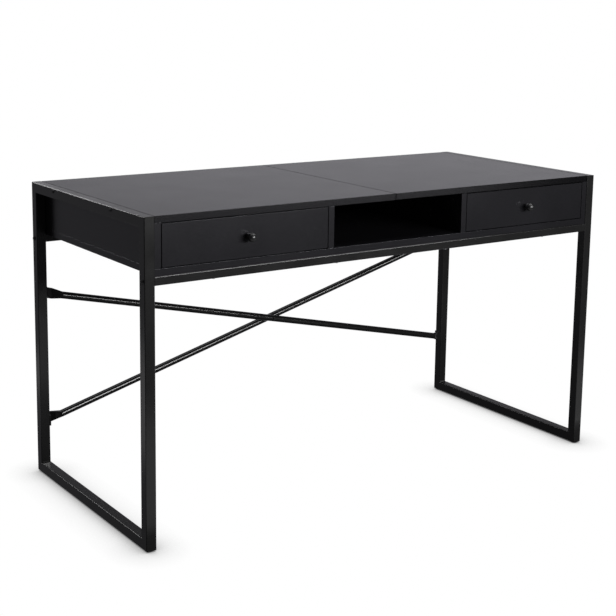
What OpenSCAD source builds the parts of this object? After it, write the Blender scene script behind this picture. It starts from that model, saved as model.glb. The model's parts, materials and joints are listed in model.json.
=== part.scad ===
// Writing desk: two closed side frames of square steel tube carry a board case
// with two drawers, an open niche between them and a two-piece top.
// X runs along the desk, Y runs to the back and Z is up. The origin is on the
// floor under the middle of the outline, with the drawer knobs counted in.

/* [Desk] */
// Width over the outer faces of the side frames
desk_w = 1350; // [1250:10:1600]
// Depth of the side frames
desk_d = 600; // [560:10:700]
// Height of the top rails above the floor
desk_h = 750; // [700:5:790]

/* [Side frames] */
// Outside size of the square frame tube
tube = 25; // [22:1:30]
// Wall of the frame and cross rail tubes
tube_wall = 1.5; // [1.2:0.1:2]
// Outer corner radius of the tubes
tube_round = 2; // [1:0.5:3]
// Outside size of the square cross rail tube
rail = 20; // [18:1:25]
// Length of the solid plug in each end of a cross rail
plug_len = 24; // [15:1:40]
// Diameter of the disc of a foot glide
glide_d = 20; // [16:1:22]
// Height of the disc of a foot glide
glide_h = 3; // [2:0.5:5]
// Diameter of the stem of a foot glide
glide_stem_d = 6; // [5:0.5:8]
// Length of the stem of a foot glide
glide_stem_len = 9; // [6:1:10]

/* [Cross brace] */
// Outside diameter of a brace tube
brace_d = 18; // [16:1:20]
// Wall of a brace tube
brace_wall = 1.2; // [1:0.1:1.5]
// Height of a flattened brace end
brace_end_h = 27; // [24:1:32]
// Thickness of a flattened brace end
brace_end_t = 3; // [2.4:0.2:4]
// Length of the flat part of a brace end
brace_flat_len = 12; // [8:1:20]
// Length over which a brace end goes from flat to round
brace_taper_len = 24; // [16:1:40]
// Height of the front brace at the left leg
brace_left_high = 470; // [400:2:500]
// Height of the rear brace at the left leg
brace_left_low = 136; // [110:2:220]
// Height of the rear brace at the right leg
brace_right_high = 490; // [400:2:520]
// Height of the front brace at the right leg
brace_right_low = 176; // [110:2:240]
// Gap between the two braces where they cross
brace_gap = 0.4; // [0.3:0.1:1]
// Room behind the rear brace for the nut of the crossing screw
brace_back_room = 5; // [4.5:0.5:10]
// Length of the brace screws past the flattened brace ends
brace_bolt_grip = 10; // [8:1:20]
// Height of the nut on the crossing screw
brace_nut_h = 4; // [3:0.5:4.5]

/* [Boards] */
// Thickness of the top, case and drawer front boards
board = 16; // [15:1:19]
// Thickness of the case back
back_board = 12; // [9:1:16]
// Drop of the top surface below the top rails
top_drop = 0; // [0:0.5:3]
// Width of the seam between the two halves of the top
seam = 1; // [0.3:0.1:2]
// Recess of the case behind the front of the frames
case_recess = 2; // [1:0.5:5]
// Recess of the case in front of the back of the frames
case_back_recess = 1; // [0:0.5:10]
// Clear height of the drawer bays and the niche
bay_h = 99; // [92:1:120]
// Clear width of the left drawer bay
left_bay_w = 437; // [380:1:470]
// Clear width of the right drawer bay
right_bay_w = 409; // [380:1:470]

/* [Drawers] */
// Gap around each drawer front
front_gap = 2; // [1:0.5:4]
// Thickness of the drawer sides and back
drawer_side = 12; // [10:1:15]
// Height of the drawer sides
drawer_side_h = 70; // [64:1:80]
// Length of the drawer sides
drawer_len = 460; // [450:5:480]
// Height of the drawer sides above the case bottom
drawer_lift = 12; // [8:1:14]
// Thickness of the drawer bottom
drawer_bottom = 4; // [3:0.5:6]
// Height of the bottom panel above the lower edge of the drawer sides
groove_lift = 8; // [6:1:12]
// Depth of the grooves that hold the drawer bottom
groove_depth = 5; // [3:0.5:6]
// Clearance of the drawer bottom in its grooves
groove_gap = 0.2; // [0.1:0.1:0.5]

/* [Drawer slides] */
// Thickness of a slide from the case to the drawer side
slide_t = 12.7; // [12.5:0.1:14]
// Height of a slide
slide_h = 35; // [33:1:38]
// Length of each slide rail
slide_len = 440; // [400:5:445]
// Wall of the slide rails
slide_wall = 1.2; // [1:0.1:1.3]
// Clearance between slide rails
slide_gap = 0.4; // [0.3:0.1:0.5]
// Depth of the lips that hold the rails together
slide_lip = 1.2; // [0.8:0.1:1.5]
// Room for screw heads behind the middle rail
slide_head_room = 1.8; // [1.6:0.1:2]
// Setback of the slides behind the drawer front
slide_setback = 2; // [1:1:10]
// Distance of the first and last slide screw from the rail ends
slide_screw_inset = 35; // [20:5:80]

/* [Knobs] */
// Diameter of the round knob head
knob_d = 21; // [18:1:26]
// Distance from the drawer front to the tip of the knob
knob_out = 25; // [22:1:32]
// Diameter of the knob neck
knob_neck_d = 9; // [8:1:12]
// Diameter of the knob foot
knob_foot_d = 13; // [12:1:18]
// Thickness of the knob foot
knob_foot_h = 2.5; // [2:0.5:4]
// Depth of the threaded hole in the knob
knob_bore_depth = 11; // [9:1:14]

/* [Fasteners] */
// Radial clearance of every screw, bolt and stem in its hole
hole_gap = 0.1; // [0.1:0.05:0.2]
// Diameter of the bolts that hold the cross rails
bolt_d = 6; // [5:0.5:7]
// Length of the bolts under the head
bolt_len = 45; // [42:1:47]
// Diameter of the brace screws
brace_screw_d = 5; // [4:0.5:6]
// Diameter of the wood screws in top, rails and plates
wood_screw_d = 4; // [3.5:0.5:5]
// Length of the screws from the top rails into the top
top_screw_len = 50; // [40:1:60]
// Distance of the front top rail screws from the front of the frame
top_screw_front = 160; // [100:5:200]
// Distance of the rear top rail screws from the back of the frame
top_screw_back = 130; // [100:5:200]
// Height of the round screw heads
head_h = 2.6; // [2:0.2:3]
// Depth of the cross rail screws in the case bottom
rail_screw_grip = 11; // [8:1:14]
// Distance of the outer cross rail screws from the legs
rail_screw_inset = 150; // [80:10:250]
// Diameter of the case screws
case_screw_d = 5; // [5:0.5:6]
// Depth of the case screws in the upright panels
case_screw_grip = 30; // [20:1:40]
// Distance of the outer panel screws from the front and back of the case
case_screw_inset = 60; // [40:5:120]
// Distance of the outer screws of the case back from its ends
back_screw_inset = 90; // [50:5:150]
// Depth of the screws from the drawer sides in the drawer back
box_screw_grip = 25; // [15:1:35]
// Depth of the screws from the drawer bottom in the drawer back
bottom_screw_grip = 16; // [10:1:25]
// Height of the sunk heads of case and drawer screws
sunk_head_h = 3; // [2:0.5:4]
// Diameter of the slide screws
slide_screw_d = 3.5; // [3:0.1:4]
// Height of the thin slide screw heads
slide_head_h = 1.2; // [1:0.1:1.4]
// Depth of the slide screws in the boards
slide_screw_grip = 9; // [6:1:11]
// Diameter of the cam nuts
cam_d = 15; // [12:1:16]
// Depth of the cam nuts in the panels
cam_depth = 12.5; // [11:0.5:14]
// Distance from the top board down to the centre of a cam nut
cam_drop = 21; // [19:1:22]
// Diameter of the cam bolts
cam_bolt_d = 6; // [5:0.5:7]
// Depth of the cam bolts in the top board
cam_bolt_grip = 11; // [8:1:12]
// Distance of the cam nuts from the front and back of the case
cam_inset = 90; // [60:5:130]
// Thickness of the plates that join the two halves of the top
plate_t = 2.5; // [2:0.5:4]
// Length of a joining plate across the seam
plate_len = 120; // [80:5:160]
// Width of a joining plate
plate_w = 32; // [25:1:40]
// Distance of the joining plates from the front and back of the case
plate_inset = 130; // [80:10:200]
// Depth of the plate screws in the top
plate_screw_grip = 10; // [7:1:12]

/* [Hidden] */
$fn = 48;
steel_black = [0.13, 0.13, 0.135];
board_black = [0.17, 0.17, 0.18];
zinc = [0.68, 0.69, 0.7];
plastic_black = [0.08, 0.08, 0.08];

over = 1;                       // overrun of cuts past a face
head_ratio = 2;                 // head diameter over shank diameter
crown_ratio = 0.7;              // top of a head over its base
socket_ratio = 0.7;             // hexagon socket over shank diameter
socket_depth_ratio = 0.6;       // socket depth over head height
sunk_head_ratio = 1.6;          // sunk head diameter over shank diameter

// Side frames
inner_x = desk_w / 2 - tube;
frame_mid_x = desk_w / 2 - tube / 2;
frame_h = desk_h - glide_h;
knob_reach = knob_out - case_recess;
back_y = (desk_d + knob_reach) / 2;
front_y = back_y - desk_d;

// Levels from the top down
top_z = desk_h - top_drop;
top_under_z = top_z - board;
bay_z = top_under_z - bay_h;
case_under_z = bay_z - board;
rail_mid_z = case_under_z - rail / 2;
rail_under_z = case_under_z - rail;
front_rail_y = front_y + rail / 2;
back_rail_y = back_y - rail / 2;

// Case
case_front_y = front_y + case_recess;
case_back_y = back_y - case_back_recess;
case_d = case_back_y - case_front_y;
back_panel_y = case_back_y - back_board;
left_bay = [board - inner_x, board - inner_x + left_bay_w];
right_bay = [inner_x - board - right_bay_w, inner_x - board];
left_divider_x = left_bay[1];
right_divider_x = right_bay[0] - board;
// Bay walls, which carry cam nuts and outer rails, each with the direction into its bay
bay_faces = [[left_bay[0], 1], [left_bay[1], -1], [right_bay[0], 1], [right_bay[1], -1]];

// Drawers
front_back_y = case_front_y + board;
side_z = bay_z + drawer_lift;
bottom_z = side_z + groove_lift;
drawer_back_y = front_back_y + drawer_len - drawer_side;
drawer_back_z = bottom_z + drawer_bottom;
drawer_back_h = side_z + drawer_side_h - drawer_back_z;
drawer_back_screws = [for (share = [0.2, 0.8]) drawer_back_z + share * drawer_back_h];
box_screw_len = drawer_side + box_screw_grip;
bottom_screw_len = drawer_bottom + bottom_screw_grip;
knob_z = bay_z + bay_h / 2;
knob_ball_out = knob_out - knob_d / 2;

// Slides, measured from the case panel towards the drawer and from the middle up
slide_y = front_back_y + slide_setback;
slide_z = side_z + drawer_side_h / 2;
slide_screws = [for (i = [0:2]) slide_y + slide_screw_inset + i * (slide_len / 2 - slide_screw_inset)];
outer_half = slide_h / 2;
outer_reach = slide_t - slide_wall - slide_gap;
middle_half = outer_half - slide_wall - slide_gap;
middle_start = slide_wall + slide_head_room;
middle_reach = outer_reach - slide_wall - slide_gap;
inner_half = middle_half - slide_wall - slide_gap;
inner_start = middle_start + slide_wall + slide_gap;
inner_reach = middle_reach - slide_wall - slide_gap;
inner_neck = middle_half - slide_wall - slide_lip - slide_gap;

// Fasteners
cross_ends = [front_rail_y, back_rail_y];
top_screw_ys = [front_y + top_screw_front, back_y - top_screw_back];
top_screw_z = top_z - board / 2;
top_screw_grip = top_screw_len - tube;
panel_screw_ys = [for (i = [0:2]) case_front_y + case_screw_inset + i * (case_d / 2 - case_screw_inset)];
back_span = inner_x - board - back_screw_inset;
back_screw_xs = [for (i = [0:3]) -back_span + i * 2 * back_span / 3];
back_edge_screw_zs = [bay_z + bay_h / 4, bay_z + 3 * bay_h / 4];
cam_ys = [case_front_y + cam_inset, case_back_y - cam_inset];
cam_z = top_under_z - cam_drop;
rail_screw_span = inner_x - rail_screw_inset;
rail_screw_xs = [for (i = [0:3]) -rail_screw_span + i * 2 * rail_screw_span / 3];
plate_ys = [case_front_y + plate_inset, case_back_y - plate_inset];
plate_screw_xs = [for (side = [-1, 1], share = [0.2, 0.4]) side * share * plate_len];

// Braces
rear_brace_y = back_y - brace_back_room - brace_d / 2;
front_brace_y = rear_brace_y - brace_d - brace_gap;
front_brace_slope = (brace_right_low - brace_left_high) / (2 * inner_x);
rear_brace_slope = (brace_right_high - brace_left_low) / (2 * inner_x);
cross_run = (brace_left_high - brace_left_low) / (rear_brace_slope - front_brace_slope);
cross_x = cross_run - inner_x;
cross_z = brace_left_high + cross_run * front_brace_slope;
front_plate_y = back_y - tube + brace_end_t / 2;
rear_plate_y = back_y - brace_end_t / 2;
front_brace_hole_y = back_y - (tube - brace_end_t) / 2;
rear_brace_hole_y = back_y - (tube + brace_end_t) / 2;

// ---- Shared shapes ----

// A cylinder along X through the origin
module along_x(d, length) {
    rotate([0, 90, 0])
        cylinder(d = d, h = length, center = true);
}

// A cylinder along Y through the origin
module along_y(d, length) {
    rotate([90, 0, 0])
        cylinder(d = d, h = length, center = true);
}

// Holes are a clearance wider than what they hold
function hole(d) = d + 2 * hole_gap;
function sunk_head(d) = d * sunk_head_ratio;

// A screw or bolt with its head above Z = 0 and its shank below
module screw(d, length, head) {
    difference() {
        union() {
            translate([0, 0, -length])
                cylinder(d = d, h = length);
            cylinder(d1 = d * head_ratio, d2 = d * head_ratio * crown_ratio, h = head);
        }
        translate([0, 0, head * (1 - socket_depth_ratio)])
            cylinder(d = d * socket_ratio, h = head + over, $fn = 6);
    }
}

// A screw whose head lies sunk with its top face at Z = 0
module sunk_screw(d, length) {
    difference() {
        union() {
            translate([0, 0, -length])
                cylinder(d = d, h = length);
            translate([0, 0, -sunk_head_h])
                cylinder(d = sunk_head(d), h = sunk_head_h);
        }
        translate([0, 0, -sunk_head_h * socket_depth_ratio])
            cylinder(d = d * socket_ratio, h = sunk_head_h, $fn = 6);
    }
}

// The hole for a sunk screw, with its mouth at Z = 0
module sunk_hole(d, length) {
    translate([0, 0, -length])
        cylinder(d = hole(d), h = length + over);
    translate([0, 0, -sunk_head_h])
        cylinder(d = hole(sunk_head(d)), h = sunk_head_h + over);
}

// Square tube section with round outer corners
module tube_section(size) {
    difference() {
        union() {
            square([size - 2 * tube_round, size], center = true);
            square([size, size - 2 * tube_round], center = true);
            for (x = [-1, 1], y = [-1, 1])
                translate([x, y] * (size / 2 - tube_round))
                    circle(tube_round);
        }
        square(size - 2 * tube_wall, center = true);
    }
}

// ---- Side frames: drawn for the left side, mirrored for the right ----

// Frame coordinates: Y from the front of the frame, Z from the bottom of the floor rail
module in_left_frame() {
    translate([-frame_mid_x, front_y, glide_h])
        children();
}

// Cuts a tube to a mitred outline given in frame coordinates
module mitred(outline) {
    intersection() {
        children();
        rotate([90, 0, 90])
            linear_extrude(tube + over, center = true)
                polygon(outline);
    }
}

module leg_tube() {
    mitred([[0, 0], [tube, tube], [tube, frame_h - tube], [0, frame_h]])
        translate([0, tube / 2, 0])
            linear_extrude(frame_h)
                tube_section(tube);
}

module rail_tube(mid_z, outline) {
    mitred(outline)
        translate([0, 0, mid_z])
            rotate([-90, 0, 0])
                linear_extrude(desk_d)
                    tube_section(tube);
}

module front_leg() {
    difference() {
        in_left_frame()
            leg_tube();
        translate([-frame_mid_x, front_rail_y, rail_mid_z])
            along_x(hole(bolt_d), tube + over);
    }
}

module rear_leg(high_hole, low_hole) {
    difference() {
        in_left_frame()
            translate([0, desk_d, 0])
                mirror([0, 1, 0])
                    leg_tube();
        translate([-frame_mid_x, back_rail_y, rail_mid_z])
            along_x(hole(bolt_d), tube + over);
        for (place = [high_hole, low_hole])
            translate([-inner_x, place[0], place[1]])
                along_x(hole(brace_screw_d), tube);
    }
}

module top_rail() {
    difference() {
        in_left_frame()
            rail_tube(frame_h - tube / 2,
                [[0, frame_h], [tube, frame_h - tube], [desk_d - tube, frame_h - tube], [desk_d, frame_h]]);
        for (y = top_screw_ys)
            translate([-frame_mid_x, y, top_screw_z])
                along_x(hole(wood_screw_d), tube + over);
    }
}

module floor_rail() {
    difference() {
        in_left_frame()
            rail_tube(tube / 2, [[0, 0], [tube, tube], [desk_d - tube, tube], [desk_d, 0]]);
        for (y = [front_y + tube / 2, back_y - tube / 2])
            translate([-frame_mid_x, y, glide_h - over])
                cylinder(d = hole(glide_stem_d), h = tube_wall + 2 * over);
    }
}

module left_front_leg() { color(steel_black) front_leg(); }
module right_front_leg() { color(steel_black) mirror([1, 0, 0]) front_leg(); }

module left_rear_leg() {
    color(steel_black)
        rear_leg([front_brace_hole_y, brace_left_high], [rear_brace_hole_y, brace_left_low]);
}

module right_rear_leg() {
    color(steel_black)
        mirror([1, 0, 0])
            rear_leg([rear_brace_hole_y, brace_right_high], [front_brace_hole_y, brace_right_low]);
}

module left_top_rail() { color(steel_black) top_rail(); }
module right_top_rail() { color(steel_black) mirror([1, 0, 0]) top_rail(); }
module left_floor_rail() { color(steel_black) floor_rail(); }
module right_floor_rail() { color(steel_black) mirror([1, 0, 0]) floor_rail(); }

// Nail-in glides, one under each frame corner
module foot_glides() {
    color(plastic_black)
        for (x = [-frame_mid_x, frame_mid_x], y = [front_y + tube / 2, back_y - tube / 2])
            translate([x, y, 0]) {
                cylinder(d1 = glide_d - glide_h, d2 = glide_d, h = glide_h / 2);
                translate([0, 0, glide_h / 2])
                    cylinder(d = glide_d, h = glide_h / 2);
                cylinder(d = glide_stem_d, h = glide_h + glide_stem_len);
            }
}

// ---- Cross rails under the case ----

module cross_rail(y) {
    difference() {
        translate([0, y, rail_mid_z])
            rotate([0, 90, 0])
                linear_extrude(2 * inner_x, center = true)
                    tube_section(rail);
        for (x = rail_screw_xs)
            translate([x, y, rail_under_z - over])
                cylinder(d = hole(wood_screw_d), h = rail + 2 * over);
    }
}

module front_cross_rail() { color(steel_black) cross_rail(front_rail_y); }
module rear_cross_rail() { color(steel_black) cross_rail(back_rail_y); }

module rail_end_plugs() {
    plug = rail - 2 * tube_wall;
    color(zinc)
        for (side = [-1, 1], y = cross_ends)
            translate([side * (inner_x - plug_len / 2), y, rail_mid_z])
                difference() {
                    cube([plug_len, plug, plug], center = true);
                    along_x(hole(bolt_d), plug_len + over);
                }
}

module frame_bolts() {
    color(steel_black)
        for (side = [-1, 1], y = cross_ends)
            translate([side * desk_w / 2, y, rail_mid_z])
                rotate([0, side * 90, 0])
                    screw(bolt_d, bolt_len, head_h);
}

module cross_rail_screws() {
    color(zinc)
        for (x = rail_screw_xs, y = cross_ends)
            translate([x, y, rail_under_z])
                rotate([180, 0, 0])
                    screw(wood_screw_d, rail + rail_screw_grip, head_h);
}

// ---- Cross brace ----

// One end of a brace: a tab on the leg, a flat plate standing off it and a taper to the round tube
module brace_end(side, tube_y, plate_y, z, slope, hole_y) {
    leg_x = side * inner_x;
    flat_x = leg_x - side * brace_flat_len;
    flat_z = z - side * slope * brace_flat_len;
    round_x = flat_x - side * brace_taper_len;
    round_z = z - side * slope * (brace_flat_len + brace_taper_len);
    difference() {
        union() {
            translate([leg_x - side * brace_end_t / 2, back_y - tube / 2, z])
                cube([brace_end_t, tube, brace_end_h], center = true);
            hull() {
                translate([leg_x - side * brace_end_t / 2, plate_y, z])
                    cube([brace_end_t, brace_end_t, brace_end_h], center = true);
                translate([flat_x, plate_y, flat_z])
                    cube([brace_end_t, brace_end_t, brace_end_h], center = true);
            }
            hull() {
                translate([flat_x, plate_y, flat_z])
                    cube([brace_end_t, brace_end_t, brace_end_h], center = true);
                translate([round_x, tube_y, round_z])
                    rotate([0, -atan(slope), 0])
                        along_x(brace_d - brace_wall / 2, brace_wall, $fn = 32);
            }
        }
        translate([leg_x, hole_y, z])
            along_x(hole(brace_screw_d), 4 * brace_end_t);
    }
}

module brace(tube_y, plate_y, left_z, right_z, hole_y) {
    slope = (right_z - left_z) / (2 * inner_x);
    span = 2 * (inner_x - brace_flat_len - brace_taper_len) * sqrt(1 + slope * slope);
    difference() {
        union() {
            brace_end(-1, tube_y, plate_y, left_z, slope, hole_y);
            brace_end(1, tube_y, plate_y, right_z, slope, hole_y);
            translate([0, tube_y, (left_z + right_z) / 2])
                rotate([0, -atan(slope), 0])
                    along_x(brace_d, span);
        }
        translate([0, tube_y, (left_z + right_z) / 2])
            rotate([0, -atan(slope), 0])
                along_x(brace_d - 2 * brace_wall, span - 2 * brace_wall);
        translate([cross_x, tube_y, cross_z])
            along_y(hole(brace_screw_d), brace_d + over);
    }
}

module front_brace() {
    color(steel_black)
        brace(front_brace_y, front_plate_y, brace_left_high, brace_right_low, front_brace_hole_y);
}

module rear_brace() {
    color(steel_black)
        brace(rear_brace_y, rear_plate_y, brace_left_low, brace_right_high, rear_brace_hole_y);
}

// Four screws into the legs, and one with its nut through the crossing
module brace_screws() {
    tab_x = inner_x - brace_end_t;
    color(steel_black) {
        for (place = [
            [-1, front_brace_hole_y, brace_left_high], [-1, rear_brace_hole_y, brace_left_low],
            [1, rear_brace_hole_y, brace_right_high], [1, front_brace_hole_y, brace_right_low]])
            translate([place[0] * tab_x, place[1], place[2]])
                rotate([0, -place[0] * 90, 0])
                    screw(brace_screw_d, brace_end_t + brace_bolt_grip, head_h);
        translate([cross_x, front_brace_y - brace_d / 2, cross_z])
            rotate([90, 0, 0])
                screw(brace_screw_d, 2 * brace_d + brace_gap + brace_nut_h, head_h);
        translate([cross_x, rear_brace_y + brace_d / 2, cross_z])
            rotate([-90, 0, 0])
                difference() {
                    cylinder(d = brace_screw_d * head_ratio, h = brace_nut_h, $fn = 6);
                    translate([0, 0, -over])
                        cylinder(d = hole(brace_screw_d), h = brace_nut_h + 2 * over);
                }
    }
}

// ---- Top ----

module tabletop_half() {
    difference() {
        translate([-inner_x, case_front_y, top_under_z])
            cube([inner_x - seam / 2, case_d, board]);
        for (y = top_screw_ys)
            translate([-inner_x, y, top_screw_z])
                along_x(hole(wood_screw_d), 2 * top_screw_grip);
        for (x = plate_screw_xs, y = plate_ys)
            translate([x, y, top_under_z - over])
                cylinder(d = hole(wood_screw_d), h = plate_screw_grip + over);
    }
}

// Blind holes for the cam bolts of one upright panel
module cam_bolt_holes(x) {
    for (y = cam_ys)
        translate([x + board / 2, y, top_under_z - over])
            cylinder(d = hole(cam_bolt_d), h = cam_bolt_grip + over);
}

module left_tabletop() {
    color(board_black)
        difference() {
            tabletop_half();
            cam_bolt_holes(-inner_x);
            cam_bolt_holes(left_divider_x);
        }
}

module right_tabletop() {
    color(board_black)
        difference() {
            mirror([1, 0, 0])
                tabletop_half();
            cam_bolt_holes(inner_x - board);
            cam_bolt_holes(right_divider_x);
        }
}

module tabletop_plates() {
    color(steel_black)
        for (y = plate_ys)
            difference() {
                translate([-plate_len / 2, y - plate_w / 2, top_under_z - plate_t])
                    cube([plate_len, plate_w, plate_t]);
                for (x = plate_screw_xs)
                    translate([x, y, top_under_z - plate_t - over])
                        cylinder(d = hole(wood_screw_d), h = plate_t + 2 * over);
            }
}

module plate_screws() {
    color(zinc)
        for (x = plate_screw_xs, y = plate_ys)
            translate([x, y, top_under_z - plate_t])
                rotate([180, 0, 0])
                    screw(wood_screw_d, plate_t + plate_screw_grip - over, head_h);
}

module top_rail_screws() {
    color(steel_black)
        for (side = [-1, 1], y = top_screw_ys)
            translate([side * desk_w / 2, y, top_screw_z])
                rotate([0, side * 90, 0])
                    screw(wood_screw_d, top_screw_len - over, head_h);
}

// ---- Case ----

// Case screws: upright ones through the bottom, level ones through the back
module case_screw_places() {
    for (x = [-inner_x, left_divider_x, right_divider_x, inner_x - board], y = panel_screw_ys)
        translate([x + board / 2, y, case_under_z])
            rotate([180, 0, 0])
                children();
    for (x = back_screw_xs)
        translate([x, case_back_y - back_board / 2, case_under_z])
            rotate([180, 0, 0])
                children();
}

module back_screw_places() {
    for (x = [left_divider_x, right_divider_x], z = back_edge_screw_zs)
        translate([x + board / 2, case_back_y, z])
            rotate([-90, 0, 0])
                children();
}

module case_screws() {
    color(zinc) {
        case_screw_places()
            sunk_screw(case_screw_d, board + case_screw_grip - over);
        back_screw_places()
            sunk_screw(case_screw_d, back_board + case_screw_grip - over);
    }
}

module case_screw_holes() {
    case_screw_places()
        sunk_hole(case_screw_d, board + case_screw_grip);
    back_screw_places()
        sunk_hole(case_screw_d, back_board + case_screw_grip);
}

module case_bottom() {
    color(board_black)
        difference() {
            translate([-inner_x, case_front_y, case_under_z])
                cube([2 * inner_x, case_d, board]);
            case_screw_holes();
            for (x = rail_screw_xs, y = cross_ends)
                translate([x, y, case_under_z - over])
                    cylinder(d = hole(wood_screw_d), h = rail_screw_grip + 2 * over);
        }
}

// An upright panel whose cam nuts and slide screws enter from the face at cam_side
module upright_panel(x, depth, cam_side) {
    face_x = cam_side > 0 ? x + board : x;
    difference() {
        translate([x, case_front_y, bay_z])
            cube([board, depth, bay_h]);
        case_screw_holes();
        for (y = cam_ys) {
            translate([face_x, y, cam_z])
                along_x(hole(cam_d), 2 * (cam_depth + hole_gap));
            translate([x + board / 2, y, cam_z])
                cylinder(d = hole(cam_bolt_d), h = cam_drop + over);
        }
        for (y = slide_screws)
            translate([face_x, y, slide_z])
                along_x(hole(slide_screw_d), 2 * (slide_screw_grip + hole_gap));
    }
}

module left_side_panel() { color(board_black) upright_panel(-inner_x, case_d, 1); }
module right_side_panel() { color(board_black) upright_panel(inner_x - board, case_d, -1); }
module left_divider() { color(board_black) upright_panel(left_divider_x, case_d - back_board, -1); }
module right_divider() { color(board_black) upright_panel(right_divider_x, case_d - back_board, 1); }

module case_back() {
    color(board_black)
        difference() {
            translate([board - inner_x, back_panel_y, bay_z])
                cube([2 * (inner_x - board), back_board, bay_h]);
            case_screw_holes();
        }
}

module cam_nuts() {
    color(zinc)
        for (face = bay_faces, y = cam_ys)
            difference() {
                translate([face[0] - face[1] * cam_depth / 2, y, cam_z])
                    along_x(cam_d, cam_depth);
                translate([face[0] - face[1] * board / 2, y, cam_z])
                    cylinder(d = hole(cam_bolt_d), h = cam_d);
                translate([face[0], y, cam_z])
                    cube([cam_depth / 4, cam_d / 2, cam_d / 10], center = true);
            }
}

module cam_bolts() {
    color(zinc)
        for (face = bay_faces, y = cam_ys)
            translate([face[0] - face[1] * board / 2, y, cam_z + hole_gap])
                cylinder(d = cam_bolt_d, h = cam_drop + cam_bolt_grip - 2 * hole_gap);
}

module slide_screws() {
    color(zinc)
        for (face = bay_faces, y = slide_screws)
            translate([face[0] + face[1] * slide_wall, y, slide_z])
                rotate([0, face[1] * 90, 0])
                    screw(slide_screw_d, slide_wall + slide_screw_grip, slide_head_h);
}

// ---- Drawer slides ----

// The upright web of a rail section
module web(x0, x1, half) {
    translate([x0, -half])
        square([x1 - x0, 2 * half]);
}

// A rectangle of a rail section and its mirror image below the middle
module both_flanges(x0, x1, z0, z1) {
    for (low = [z0, -z1])
        translate([x0, low])
            square([x1 - x0, z1 - z0]);
}

module outer_section() {
    web(0, slide_wall, outer_half);
    both_flanges(0, outer_reach, outer_half - slide_wall, outer_half);
    both_flanges(outer_reach - slide_wall, outer_reach,
        outer_half - slide_wall - slide_lip, outer_half);
}

module middle_section() {
    web(middle_start, middle_start + slide_wall, middle_half);
    both_flanges(middle_start, middle_reach, middle_half - slide_wall, middle_half);
    both_flanges(middle_reach - slide_wall, middle_reach,
        middle_half - slide_wall - slide_lip, middle_half);
}

module inner_section() {
    web(slide_t - slide_wall, slide_t, inner_neck);
    both_flanges(inner_start, inner_reach, inner_half - slide_wall, inner_half);
    both_flanges(inner_reach - slide_wall, inner_reach, inner_neck - slide_wall, inner_half);
    both_flanges(inner_reach - slide_wall, slide_t, inner_neck - slide_wall, inner_neck);
}

// Carries a rail section along a bay wall: side -1 is the left wall, 1 the right wall
module along_wall(bay, side) {
    translate([side < 0 ? bay[0] : bay[1], slide_y + slide_len, slide_z])
        mirror([side < 0 ? 0 : 1, 0, 0])
            rotate([90, 0, 0])
                linear_extrude(slide_len)
                    children();
}

module slide_screw_cuts(x) {
    for (y = slide_screws)
        translate([x, y, slide_z])
            along_x(hole(slide_screw_d), 4 * slide_wall);
}

module outer_rail(bay, side) {
    color(zinc)
        difference() {
            along_wall(bay, side)
                outer_section();
            slide_screw_cuts(side < 0 ? bay[0] : bay[1]);
        }
}

module middle_rail(bay, side) {
    color(zinc)
        along_wall(bay, side)
            middle_section();
}

module inner_rail(bay, side) {
    color(zinc)
        difference() {
            along_wall(bay, side)
                inner_section();
            slide_screw_cuts(side < 0 ? bay[0] + slide_t : bay[1] - slide_t);
        }
}

module left_drawer_left_outer_rail() { outer_rail(left_bay, -1); }
module left_drawer_left_middle_rail() { middle_rail(left_bay, -1); }
module left_drawer_left_inner_rail() { inner_rail(left_bay, -1); }
module left_drawer_right_outer_rail() { outer_rail(left_bay, 1); }
module left_drawer_right_middle_rail() { middle_rail(left_bay, 1); }
module left_drawer_right_inner_rail() { inner_rail(left_bay, 1); }
module right_drawer_left_outer_rail() { outer_rail(right_bay, -1); }
module right_drawer_left_middle_rail() { middle_rail(right_bay, -1); }
module right_drawer_left_inner_rail() { inner_rail(right_bay, -1); }
module right_drawer_right_outer_rail() { outer_rail(right_bay, 1); }
module right_drawer_right_middle_rail() { middle_rail(right_bay, 1); }
module right_drawer_right_inner_rail() { inner_rail(right_bay, 1); }

// ---- Drawers ----

function bay_mid(bay) = (bay[0] + bay[1]) / 2;
function box_x0(bay) = bay[0] + slide_t;
function box_x1(bay) = bay[1] - slide_t;

// Outer faces of the drawer sides, each with the direction out of the drawer
function box_faces(bay) = [[box_x0(bay), -1], [box_x1(bay), 1]];

// Screws from the drawer sides into the drawer back
module box_screw_places(bay) {
    for (face = box_faces(bay), z = drawer_back_screws)
        translate([face[0], drawer_back_y + drawer_side / 2, z])
            rotate([0, face[1] * 90, 0])
                children();
}

// Screws from below through the drawer bottom into the drawer back
module bottom_screw_places(bay) {
    for (share = [-1, 1])
        translate([bay_mid(bay) + share * (box_x1(bay) - box_x0(bay)) / 4,
            drawer_back_y + drawer_side / 2, bottom_z])
            rotate([180, 0, 0])
                children();
}

// The space the drawer bottom slides into, with its clearance
module bottom_groove(bay) {
    translate([box_x0(bay) + drawer_side - groove_depth, front_back_y - groove_depth, bottom_z - groove_gap])
        cube([box_x1(bay) - box_x0(bay) - 2 * (drawer_side - groove_depth),
            drawer_len + groove_depth + over, drawer_bottom + 2 * groove_gap]);
}

module drawer_front(bay) {
    color(board_black)
        difference() {
            translate([bay[0] + front_gap, case_front_y, bay_z + front_gap])
                cube([bay[1] - bay[0] - 2 * front_gap, board, bay_h - 2 * front_gap]);
            bottom_groove(bay);
            translate([bay_mid(bay), case_front_y, knob_z])
                along_y(hole(wood_screw_d), 4 * board);
        }
}

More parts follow.
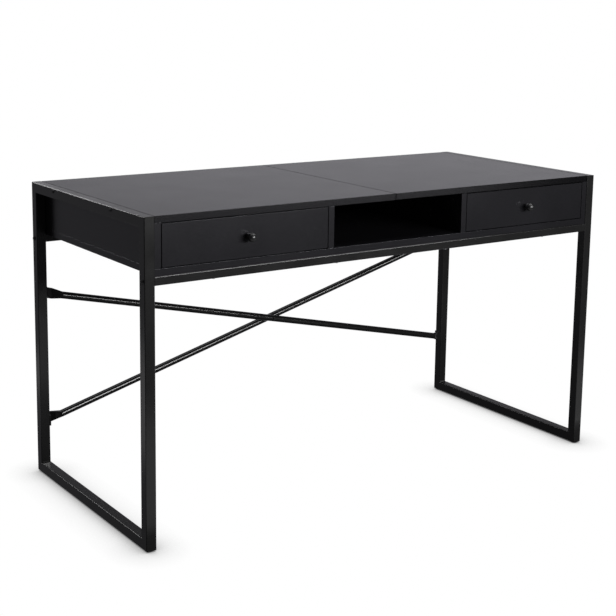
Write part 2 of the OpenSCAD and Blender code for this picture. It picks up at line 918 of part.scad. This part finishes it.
module drawer_side_board(bay, side) {
    color(board_black)
        difference() {
            translate([side < 0 ? box_x0(bay) : box_x1(bay) - drawer_side, front_back_y, side_z])
                cube([drawer_side, drawer_len, drawer_side_h]);
            bottom_groove(bay);
            box_screw_places(bay)
                sunk_hole(wood_screw_d, box_screw_len);
            for (y = slide_screws)
                translate([side < 0 ? box_x0(bay) : box_x1(bay), y, slide_z])
                    along_x(hole(slide_screw_d), 2 * (slide_screw_grip + hole_gap));
        }
}

module drawer_back(bay) {
    color(board_black)
        difference() {
            translate([box_x0(bay) + drawer_side, drawer_back_y, drawer_back_z])
                cube([box_x1(bay) - box_x0(bay) - 2 * drawer_side, drawer_side, drawer_back_h]);
            box_screw_places(bay)
                sunk_hole(wood_screw_d, box_screw_len);
            bottom_screw_places(bay)
                cylinder(d = hole(wood_screw_d), h = 2 * bottom_screw_len, center = true);
        }
}

module drawer_bottom_panel(bay) {
    side_reach = groove_depth - groove_gap;
    color(board_black)
        difference() {
            translate([box_x0(bay) + drawer_side - side_reach, front_back_y - side_reach, bottom_z])
                cube([box_x1(bay) - box_x0(bay) - 2 * (drawer_side - side_reach),
                    drawer_len + side_reach, drawer_bottom]);
            bottom_screw_places(bay)
                cylinder(d = hole(wood_screw_d), h = 4 * drawer_bottom, center = true);
        }
}

// Turned knob: a round head on a neck that widens to a foot
module drawer_knob(bay) {
    color(steel_black)
        translate([bay_mid(bay), case_front_y, knob_z])
            rotate([90, 0, 0])
                difference() {
                    union() {
                        cylinder(d = knob_foot_d, h = knob_foot_h);
                        cylinder(d = knob_neck_d, h = knob_ball_out);
                        translate([0, 0, knob_ball_out])
                            sphere(d = knob_d);
                    }
                    translate([0, 0, -over])
                        cylinder(d = hole(wood_screw_d), h = knob_bore_depth + over);
                }
}

module drawer_knob_screw(bay) {
    color(zinc)
        translate([bay_mid(bay), front_back_y, knob_z])
            rotate([-90, 0, 0])
                screw(wood_screw_d, board + knob_bore_depth - over, head_h);
}

module drawer_screws(bay) {
    color(zinc) {
        box_screw_places(bay)
            sunk_screw(wood_screw_d, box_screw_len - over);
        bottom_screw_places(bay)
            screw(wood_screw_d, bottom_screw_len - over, slide_head_h);
        for (face = box_faces(bay), y = slide_screws)
            translate([face[0] + face[1] * slide_wall, y, slide_z])
                rotate([0, face[1] * 90, 0])
                    screw(slide_screw_d, slide_wall + slide_screw_grip, slide_head_h);
    }
}

module left_drawer_front() { drawer_front(left_bay); }
module left_drawer_left_side() { drawer_side_board(left_bay, -1); }
module left_drawer_right_side() { drawer_side_board(left_bay, 1); }
module left_drawer_back() { drawer_back(left_bay); }
module left_drawer_bottom() { drawer_bottom_panel(left_bay); }
module left_drawer_knob() { drawer_knob(left_bay); }
module left_drawer_knob_screw() { drawer_knob_screw(left_bay); }
module left_drawer_screws() { drawer_screws(left_bay); }
module right_drawer_front() { drawer_front(right_bay); }
module right_drawer_left_side() { drawer_side_board(right_bay, -1); }
module right_drawer_right_side() { drawer_side_board(right_bay, 1); }
module right_drawer_back() { drawer_back(right_bay); }
module right_drawer_bottom() { drawer_bottom_panel(right_bay); }
module right_drawer_knob() { drawer_knob(right_bay); }
module right_drawer_knob_screw() { drawer_knob_screw(right_bay); }
module right_drawer_screws() { drawer_screws(right_bay); }

left_front_leg();
left_rear_leg();
left_top_rail();
left_floor_rail();
right_front_leg();
right_rear_leg();
right_top_rail();
right_floor_rail();
front_cross_rail();
rear_cross_rail();
rail_end_plugs();
frame_bolts();
foot_glides();
front_brace();
rear_brace();
brace_screws();
left_tabletop();
right_tabletop();
tabletop_plates();
plate_screws();
top_rail_screws();
case_bottom();
left_side_panel();
right_side_panel();
left_divider();
right_divider();
case_back();
case_screws();
cam_nuts();
cam_bolts();
cross_rail_screws();
slide_screws();
left_drawer_front();
left_drawer_left_side();
left_drawer_right_side();
left_drawer_back();
left_drawer_bottom();
left_drawer_knob();
left_drawer_knob_screw();
left_drawer_screws();
right_drawer_front();
right_drawer_left_side();
right_drawer_right_side();
right_drawer_back();
right_drawer_bottom();
right_drawer_knob();
right_drawer_knob_screw();
right_drawer_screws();
left_drawer_left_outer_rail();
left_drawer_left_middle_rail();
left_drawer_left_inner_rail();
left_drawer_right_outer_rail();
left_drawer_right_middle_rail();
left_drawer_right_inner_rail();
right_drawer_left_outer_rail();
right_drawer_left_middle_rail();
right_drawer_left_inner_rail();
right_drawer_right_outer_rail();
right_drawer_right_middle_rail();
right_drawer_right_inner_rail();
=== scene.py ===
# Writing desk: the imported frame, dressed with materials, rounded edges, welds, a pale floor and studio light.
import json
import math

import bmesh
import bpy
from mathutils import Matrix, Vector


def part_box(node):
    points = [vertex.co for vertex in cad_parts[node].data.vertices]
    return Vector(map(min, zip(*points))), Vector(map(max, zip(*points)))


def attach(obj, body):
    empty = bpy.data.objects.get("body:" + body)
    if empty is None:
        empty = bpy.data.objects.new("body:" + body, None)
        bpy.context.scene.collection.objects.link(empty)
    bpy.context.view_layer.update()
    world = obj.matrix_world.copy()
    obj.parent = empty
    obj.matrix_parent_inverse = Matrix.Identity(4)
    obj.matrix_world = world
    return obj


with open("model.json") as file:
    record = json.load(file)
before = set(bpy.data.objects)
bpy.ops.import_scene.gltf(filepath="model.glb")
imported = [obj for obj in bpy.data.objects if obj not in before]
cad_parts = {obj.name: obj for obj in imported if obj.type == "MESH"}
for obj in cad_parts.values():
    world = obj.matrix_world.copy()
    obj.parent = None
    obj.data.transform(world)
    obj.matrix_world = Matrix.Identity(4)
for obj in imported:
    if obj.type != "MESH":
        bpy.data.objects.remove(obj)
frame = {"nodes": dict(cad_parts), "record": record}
nodes = frame["nodes"]
bpy.context.view_layer.update()
scene = bpy.context.scene
scene.view_settings.view_transform = "Standard"

MM = 0.001


# ---- Camera ----

SENSOR_WIDTH_MM = 36
LENS_MM = 75.15
SHIFT_Y = -0.14
EYE_X, EYE_BEFORE_MIDDLE, EYE_HEIGHT = -1.9042, 2.6792, 1.2085
YAW, PITCH, ROLL = math.radians(34.698), math.radians(-9.891), math.radians(0.831)

desk_mid_y = (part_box("left_front_leg")[0].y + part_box("left_rear_leg")[1].y) / 2
eye = Vector((EYE_X, desk_mid_y - EYE_BEFORE_MIDDLE, EYE_HEIGHT))
look = Vector((math.sin(YAW) * math.cos(PITCH), math.cos(YAW) * math.cos(PITCH), math.sin(PITCH)))
level_side = look.cross(Vector((0, 0, 1))).normalized()
level_up = level_side.cross(look)
side = level_side * math.cos(ROLL) + level_up * math.sin(ROLL)
up = level_up * math.cos(ROLL) - level_side * math.sin(ROLL)

camera_data = bpy.data.cameras.new("camera")
camera_data.sensor_width = SENSOR_WIDTH_MM
camera_data.lens = LENS_MM
camera_data.shift_y = SHIFT_Y
camera = bpy.data.objects.new("camera", camera_data)
camera.matrix_world = Matrix.Translation(eye) @ Matrix((side, up, -look)).transposed().to_4x4()
scene.collection.objects.link(camera)
scene.camera = camera


# ---- Materials ----

class Nodes:
    """Adds shader nodes to a new material and links them."""

    def __init__(self, name):
        self.material = bpy.data.materials.new(name)
        self.material.use_nodes = True
        self.tree = self.material.node_tree
        self.shader = self.tree.nodes["Principled BSDF"]
        self.place = self.tree.nodes.new("ShaderNodeTexCoord").outputs["Object"]

    def add(self, kind, **settings):
        """A new node, with each setting put on the input or the property of that name."""
        node = self.tree.nodes.new("ShaderNode" + kind)
        for key, value in settings.items():
            if key in node.inputs:
                node.inputs[key].default_value = value
            else:
                setattr(node, key, value)
        return node

    def link(self, source, target):
        self.tree.links.new(source, target)

    def stretched(self, *scale):
        """The object's coordinates, scaled along each axis."""
        mapping = self.add("Mapping", Scale=scale)
        self.link(self.place, mapping.inputs["Vector"])
        return mapping.outputs["Vector"]

    def noise(self, scale, detail, roughness=0.5, place=None):
        node = self.add("TexNoise", Scale=scale, Detail=detail, Roughness=roughness)
        self.link(place or self.place, node.inputs["Vector"])
        return node.outputs["Fac"]

    def ranged(self, value, low, high, start=0.3, end=0.7):
        """Low to high while the value goes from start to end, the middle of a noise unless given."""
        node = self.add("MapRange")
        self.link(value, node.inputs["Value"])
        for key, number in zip(("From Min", "From Max", "To Min", "To Max"), (start, end, low, high)):
            node.inputs[key].default_value = number
        return node.outputs["Result"]

    def math(self, operation, a, b):
        node = self.add("Math", operation=operation)
        for socket, value in zip(node.inputs, (a, b)):
            if isinstance(value, (int, float)):
                socket.default_value = value
            else:
                self.link(value, socket)
        return node.outputs["Value"]

    def blend(self, value, a, b, start=0.3, end=0.7):
        """Colour a to colour b while the value goes from start to end."""
        node = self.add("Mix", data_type="RGBA")
        self.link(self.ranged(value, 0, 1, start, end), node.inputs["Factor"])
        ends = [socket for socket in node.inputs if socket.type == "RGBA"]
        for socket, colour in zip(ends, (a, b)):
            socket.default_value = (*colour, 1)
        return next(socket for socket in node.outputs if socket.type == "RGBA")

    def bump(self, height, distance, strength, under=None):
        node = self.add("Bump", Strength=strength, Distance=distance)
        self.link(height, node.inputs["Height"])
        if under is not None:
            self.link(under, node.inputs["Normal"])
        return node.outputs["Normal"]

    def wire(self, **sockets):
        """Links outputs to the shader's inputs, or sets values on them."""
        for key, value in sockets.items():
            socket = self.shader.inputs[key.replace("_", " ")]
            if isinstance(value, (int, float, tuple)):
                socket.default_value = value
            else:
                self.link(value, socket)


def board_material():
    """Satin black melamine: a fine pearl texture with soft cloudy sheen."""
    n = Nodes("satin_board")
    cloud = n.noise(scale=9, detail=4)
    fine = n.noise(scale=700, detail=2)
    pores = n.noise(scale=900, detail=3, roughness=0.6, place=n.stretched(0.12, 1, 1))
    coarse = n.noise(scale=260, detail=2)
    tint = n.math("ADD", n.math("MULTIPLY", cloud, 0.5), n.math("MULTIPLY", fine, 0.5))
    n.wire(
        Base_Color=n.blend(tint, (0.0053, 0.0052, 0.006), (0.0067, 0.0065, 0.0076), 0.35, 0.65),
        Roughness=n.math("ADD", n.ranged(cloud, 0.23, 0.245), n.ranged(pores, -0.02, 0.02)),
        Specular_Tint=(0.94, 0.93, 1, 1),
        Normal=n.bump(pores, 0.04 * MM, 0.6, under=n.bump(coarse, 0.06 * MM, 0.5)),
    )
    return n.material


def powder_material(name, roughness, peel_strength):
    """Black powder coat on steel: orange peel with a slight sparkle of gloss."""
    n = Nodes(name)
    peel = n.noise(scale=620, detail=2, roughness=0.45)
    cloud = n.noise(scale=14, detail=3)
    speck = n.noise(scale=2600, detail=1)
    cloudy = n.ranged(cloud, roughness - 0.025, roughness + 0.025)
    n.wire(
        Base_Color=n.blend(speck, (0.006, 0.006, 0.006), (0.009, 0.009, 0.009), 0.4, 0.7),
        Roughness=n.math("ADD", cloudy, n.ranged(speck, -0.02, 0.02)),
        Normal=n.bump(peel, 0.12 * MM, peel_strength),
    )
    return n.material


def knob_material():
    """Semi-gloss black lacquer on a turned knob."""
    n = Nodes("knob_lacquer")
    peel = n.noise(scale=420, detail=2)
    n.wire(
        Base_Color=n.blend(peel, (0.006, 0.006, 0.0065), (0.009, 0.009, 0.0095)),
        Roughness=n.ranged(n.noise(scale=60, detail=3), 0.26, 0.34),
        Normal=n.bump(peel, 0.05 * MM, 0.4),
    )
    return n.material


def zinc_material():
    """Bright zinc plate: a cool metal with rolling streaks and faint blooms."""
    n = Nodes("zinc_plate")
    streak = n.noise(scale=500, detail=3, roughness=0.6, place=n.stretched(1, 0.06, 1))
    bloom = n.noise(scale=45, detail=4)
    n.wire(
        Base_Color=n.blend(bloom, (0.50, 0.51, 0.53), (0.66, 0.67, 0.68), 0.35, 0.65),
        Metallic=1.0,
        Roughness=n.math("ADD", n.ranged(bloom, 0.26, 0.36), n.ranged(streak, -0.05, 0.05)),
        Normal=n.bump(streak, 0.04 * MM, 0.5),
    )
    return n.material


def plastic_material():
    """Moulded black plastic with a fine spark-eroded texture."""
    n = Nodes("moulded_plastic")
    grain = n.noise(scale=1500, detail=2)
    n.wire(
        Base_Color=n.blend(grain, (0.010, 0.010, 0.010), (0.018, 0.018, 0.018)),
        Roughness=n.ranged(n.noise(scale=200, detail=3), 0.5, 0.62),
        Normal=n.bump(grain, 0.1 * MM, 0.5),
    )
    return n.material


LOOKS = {
    "black_board": board_material(),
    "black_steel": powder_material("powder_coat", roughness=0.23, peel_strength=0.2),
    "black_knob": knob_material(),
    "zinc_steel": zinc_material(),
    "black_plastic": plastic_material(),
}
ROD_COAT = powder_material("rod_powder_coat", roughness=0.14, peel_strength=0.02)
slots = {part["node"]: part["material_slot"] for part in frame["record"]["subparts"]}
for name, node in nodes.items():
    node.data.materials.clear()
    node.data.materials.append(ROD_COAT if name in ("front_brace", "rear_brace") else LOOKS[slots[name]])


# ---- Edges ----

TOP_EDGE = 1.3 * MM
BOARD_EDGE = 0.35 * MM
PLATE_EDGE = 0.4 * MM
SEAM_REACH = 0.002 * MM


def round_edges(node, width, segments=2):
    """Welds the node's seams, joins its flat triangles and rounds its sharp edges, all as modifiers."""
    weld = node.modifiers.new("weld", "WELD")
    weld.merge_threshold = SEAM_REACH
    flat = node.modifiers.new("flat", "DECIMATE")
    flat.decimate_type = "DISSOLVE"
    flat.angle_limit = math.radians(0.5)
    bevel = node.modifiers.new("edges", "BEVEL")
    bevel.width = width
    bevel.segments = segments
    bevel.limit_method = "ANGLE"
    bevel.angle_limit = math.radians(40)
    bevel.use_clamp_overlap = False
    bevel.harden_normals = True


for name, node in nodes.items():
    if name.endswith("tabletop"):
        round_edges(node, TOP_EDGE, segments=4)
    elif slots[name] == "black_board":
        round_edges(node, BOARD_EDGE)
    elif name == "tabletop_plates":
        round_edges(node, PLATE_EDGE)


# ---- Welds ----

TUBE_ROUND = 2 * MM
BEAD_SIZE = 3.2 * MM
BEAD_SINK = 0.3 * MM
BEAD_STEPS, BEAD_SIDES = 84, 14
BEAD_HOLLOW = 0.2
RIPPLE_LENGTH, RIPPLE_DEPTH = 1.6 * MM, 0.045
WANDER_PHASE, WANDER_DEPTH = 23, 0.03
END_THICKNESS, END_STEEPNESS = 0.55, 6


def bead_reach(along, length, x_mid):
    """How far the bead reaches up each tube, at a fraction of its length."""
    taper = min(1, END_STEEPNESS * along, END_STEEPNESS * (1 - along)) ** 0.5
    ripple = RIPPLE_DEPTH * math.cos(2 * math.pi * along * length / RIPPLE_LENGTH)
    wander = WANDER_DEPTH * math.sin(WANDER_PHASE * along + x_mid)
    return BEAD_SIZE * (END_THICKNESS + (1 - END_THICKNESS) * taper) * (1 + ripple + wander)


def weld_bead(name, x_mid, length, corner, towards):
    """A rippled fillet along X in the inner corner of two tubes; towards is the corner's open side in Y and Z."""
    mesh = bpy.data.meshes.new(name)
    bead = bmesh.new()
    rings = []
    for i in range(BEAD_STEPS + 1):
        along = i / BEAD_STEPS
        reach = bead_reach(along, length, x_mid)
        section = []
        for j in range(BEAD_SIDES + 1):
            turn = math.pi / 2 * j / BEAD_SIDES
            hollow = 1 - BEAD_HOLLOW * math.sin(2 * turn)
            section.append((reach * hollow * math.cos(turn), reach * hollow * math.sin(turn)))
        section.append((0, 0))
        rings.append([
            bead.verts.new((
                x_mid + (along - 0.5) * length,
                corner[0] + towards[0] * (y - BEAD_SINK),
                corner[1] + towards[1] * (z - BEAD_SINK),
            ))
            for y, z in section
        ])
    for a, b in zip(rings, rings[1:]):
        for j in range(len(a)):
            k = (j + 1) % len(a)
            bead.faces.new((a[j], a[k], b[k], b[j]))
    bead.faces.new(rings[0])
    bead.faces.new(rings[-1])
    bmesh.ops.recalc_face_normals(bead, faces=bead.faces)
    for face in bead.faces:
        face.smooth = len(face.verts) == 4
    bead.to_mesh(mesh)
    bead.free()
    mesh.materials.append(LOOKS["black_steel"])
    piece = bpy.data.objects.new(name, mesh)
    scene.collection.objects.link(piece)
    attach(piece, "desk")
    return piece


welds = []
for hand in ("left", "right"):
    post_low, post_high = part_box(hand + "_front_leg")
    back_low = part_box(hand + "_rear_leg")[0]
    floor_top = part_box(hand + "_floor_rail")[1].z
    top_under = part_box(hand + "_top_rail")[0].z
    mid = (post_low.x + post_high.x) / 2
    run = post_high.x - post_low.x - 2 * TUBE_ROUND
    for spot, corner, towards in (
        ("front_low", (post_high.y, floor_top), (1, 1)),
        ("rear_low", (back_low.y, floor_top), (-1, 1)),
        ("front_high", (post_high.y, top_under), (1, -1)),
        ("rear_high", (back_low.y, top_under), (-1, -1)),
    ):
        welds.append(weld_bead(hand + "_" + spot + "_weld", mid, run, corner, towards))


# ---- Floor and backdrop ----

FLOOR_REACH = 30
DOME_RADIUS = 60
SHADE_REACH, SHADE_DEPTH = 0.09, 1.15


def stage_object(name, mesh):
    """A piece of the studio that only the camera sees."""
    piece = bpy.data.objects.new(name, mesh)
    scene.collection.objects.link(piece)
    for ray in ("diffuse", "glossy", "transmission", "volume_scatter", "shadow"):
        setattr(piece, "visible_" + ray, False)


def floor_material():
    """White floor with soft shade close under the desk, clear from below."""
    n = Nodes("pale_floor")
    shade = n.add("AmbientOcclusion", Distance=SHADE_REACH, samples=8)
    n.wire(Base_Color=(0, 0, 0, 1), Roughness=1.0, Specular_IOR_Level=0.0, Emission_Color=(1, 1, 1, 1))
    n.wire(Emission_Strength=n.math("POWER", shade.outputs["AO"], SHADE_DEPTH))
    facing = n.add("NewGeometry")
    clear = n.add("BsdfTransparent")
    choose = n.add("MixShader")
    n.link(facing.outputs["Backfacing"], choose.inputs[0])
    n.link(n.shader.outputs["BSDF"], choose.inputs[1])
    n.link(clear.outputs["BSDF"], choose.inputs[2])
    n.link(choose.outputs["Shader"], n.tree.nodes["Material Output"].inputs["Surface"])
    return n.material


def backdrop_material():
    """Even white all round."""
    n = Nodes("white_backdrop")
    n.wire(Base_Color=(0, 0, 0, 1), Roughness=1.0, Specular_IOR_Level=0.0)
    n.wire(Emission_Color=(1, 1, 1, 1), Emission_Strength=1.0)
    return n.material


floor_mesh = bpy.data.meshes.new("floor")
floor_corners = [(x * FLOOR_REACH, y * FLOOR_REACH, 0) for x, y in ((-1, -1), (1, -1), (1, 1), (-1, 1))]
floor_mesh.from_pydata(floor_corners, [], [(0, 1, 2, 3)])
floor_mesh.materials.append(floor_material())
stage_object("floor", floor_mesh)

dome_mesh = bpy.data.meshes.new("backdrop")
dome = bmesh.new()
bmesh.ops.create_uvsphere(dome, u_segments=32, v_segments=16, radius=DOME_RADIUS)
dome.to_mesh(dome_mesh)
dome.free()
dome_mesh.materials.append(backdrop_material())
stage_object("backdrop", dome_mesh)


# ---- Light from all round ----

ROOM_TINT = (0.99, 0.975, 1.04, 1)
ROOM_BRIGHTNESS = 0.04
# Soft round patches of the room: azimuth and elevation in degrees, sharpness, brightness.
ROOM_PATCHES = (
    (30, -12, 16, 0.94),
    (60, -12, 16, 1.04),
    (0, 45, 8, 0.14),
    (180, 12, 16, 0.2),
    (318, 34, 9, 0.2),
    (330, -12, 16, 0.09),
)

world = bpy.data.worlds.new("studio")
scene.world = world
world.use_nodes = True
sky = world.node_tree
sky_way = sky.nodes.new("ShaderNodeTexCoord").outputs["Generated"]


def toward(azimuth, elevation):
    """The unit vector at an azimuth from +Y towards +X and an elevation, both in degrees."""
    a, e = math.radians(azimuth), math.radians(elevation)
    return Vector((math.sin(a) * math.cos(e), math.cos(a) * math.cos(e), math.sin(e)))


def sky_math(operation, *values):
    node = sky.nodes.new("ShaderNodeMath")
    node.operation = operation
    for socket, value in zip(node.inputs, values):
        if isinstance(value, (int, float)):
            socket.default_value = value
        else:
            sky.links.new(value, socket)
    return node.outputs["Value"]


def glow(azimuth, elevation, sharpness, strength):
    """Light from a soft round patch of the room, as a brightness for each direction."""
    dot = sky.nodes.new("ShaderNodeVectorMath")
    dot.operation = "DOT_PRODUCT"
    sky.links.new(sky_way, dot.inputs[0])
    dot.inputs[1].default_value = toward(azimuth, elevation)
    fall = sky_math("MULTIPLY_ADD", dot.outputs["Value"], sharpness, -sharpness)
    return sky_math("MULTIPLY", sky_math("EXPONENT", fall), strength)


brightness = ROOM_BRIGHTNESS
for patch in ROOM_PATCHES:
    brightness = sky_math("ADD", glow(*patch), brightness)
sky.links.new(brightness, sky.nodes["Background"].inputs["Strength"])
sky.nodes["Background"].inputs["Color"].default_value = ROOM_TINT


# ---- Lamps ----

AIM_HEIGHT = 0.5
FLOOR_CLEARANCE = 1 * MM


def light_sheet(name, place, turn, size, radiance, lit=None):
    """A flat light of even radiance that the camera doesn't see; lit names the only pieces it shines on."""
    data = bpy.data.lights.new(name, "AREA")
    data.shape = "RECTANGLE"
    data.size, data.size_y = size
    data.energy = radiance * size[0] * size[1] * math.pi
    lamp = bpy.data.objects.new(name, data)
    lamp.location, lamp.rotation_euler = place, turn
    lamp.visible_camera = False
    scene.collection.objects.link(lamp)
    if lit is not None:
        receivers = bpy.data.collections.new(name + "_lit")
        for piece in lit:
            receivers.objects.link(piece)
        lamp.light_linking.receiver_collection = receivers


def soft_box(name, azimuth, elevation, distance, size, radiance, lit=None):
    """A studio light that faces the desk."""
    way = toward(azimuth, elevation)
    place = Vector((0, 0, AIM_HEIGHT)) + way * distance
    light_sheet(name, place, way.to_track_quat("Z", "Y").to_euler(), size, radiance, lit)


def floor_glow(name, x, y, size, radiance):
    """Light that comes back up from a bright patch of the floor."""
    light_sheet(name, (x, y, FLOOR_CLEARANCE), (math.pi, 0, 0), size, radiance)


def ending(*ends):
    """The nodes whose names end in one of these ways."""
    return [node for name, node in nodes.items() if name.endswith(ends)]


def all_but(left_out):
    """Every piece of the desk except these."""
    return [piece for piece in list(nodes.values()) + welds if piece not in left_out]


# The strips and the rim light are strong, so they stay off level faces that would mirror them.
tops = ending("tabletop")
drawer_boxes = ending("_side", "_drawer_back")
strip_lit = all_but(tops + drawer_boxes + ending("_top_rail", "_floor_rail"))
rim_lit = all_but(tops + drawer_boxes + ending("_drawer_front"))

soft_box("overhead", 0, 90, 3.5, (3.0, 3.0), 1.8)
soft_box("key", 116, 58, 3.6, (1.2, 1.2), 6)
soft_box("low_strip", 162, 14, 3.2, (2.6, 0.5), 28, strip_lit)
soft_box("high_strip", 168, 26, 3.1, (1.2, 0.5), 6, strip_lit)
soft_box("edge_strip", 159, 2, 3.2, (2.6, 0.5), 2, tops)
soft_box("rim", 324, 17, 3.4, (0.6, 0.6), 10.5, rim_lit)
soft_box("rail_strip", 355, 25, 3.4, (1.5, 0.5), 3.2, [nodes["left_top_rail"]])

floor_glow("front_floor_glow", 0, -0.75, (2.6, 0.7), 0.4)
floor_glow("left_floor_glow", -1.2, 0.7, (0.5, 1.3), 0.3)
floor_glow("right_floor_glow", 0.95, -0.7, (0.5, 0.6), 0.32)
